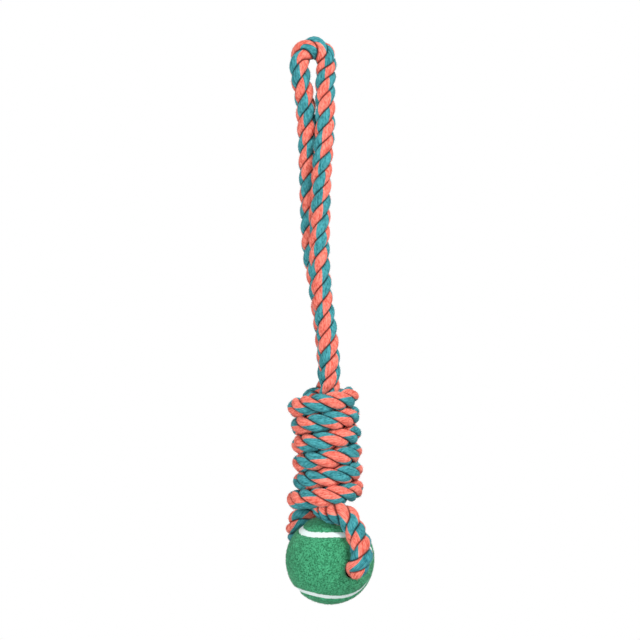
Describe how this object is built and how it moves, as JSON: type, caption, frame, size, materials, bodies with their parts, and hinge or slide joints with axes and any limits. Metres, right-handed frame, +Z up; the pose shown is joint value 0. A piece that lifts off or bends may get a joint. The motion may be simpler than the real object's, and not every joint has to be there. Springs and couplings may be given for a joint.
{
  "type": "ball on rope dog toy",
  "caption": "Tug toy of two-colour rope with a hand loop, a long wound knot and a loop threaded through a drilled felt ball.",
  "frame": {"origin": "centre of the bend at the top of the hand loop, where a peg, hook or finger holds it", "axes": "+Z up along the hanging toy, +X to the right, -Y towards the viewer of the front"},
  "size_m": [0.064, 0.0888, 0.4087],
  "materials": {
    "rope": "coral and teal cotton rope",
    "ball_core": "moulded rubber",
    "felt": "woven wool felt",
    "seam": "cured rubber seam"
  },
  "bodies": {
    "handle": {"handle_loop": "rope", "neck_rope_front": "rope", "neck_rope_back": "rope"},
    "knot": {"core_rope_front": "rope", "core_rope_handle": "rope", "core_rope_ball": "rope", "winding": "rope", "ball_leg_front": "rope", "ball_leg_back": "rope", "ball_rope": "rope"},
    "ball": {"ball_core_front": "ball_core", "ball_core_back": "ball_core", "felt_panel_a": "felt", "felt_panel_b": "felt", "ball_seam": "seam"}
  },
  "joints": [
    {"name": "neck_bend", "type": "hinge", "parent": "handle", "child": "knot", "pos_m": [0.0108, 0, -0.2275], "axis": [0, 1, 0], "range_deg": [-45, 45], "deforming": ["neck_rope_front", "neck_rope_back"]},
    {"name": "ball_turn", "type": "hinge", "parent": "knot", "child": "ball", "pos_m": [0.0124, 0, -0.3601], "axis": [0.545, -0.829, -0.125], "continuous": true}
  ]
}
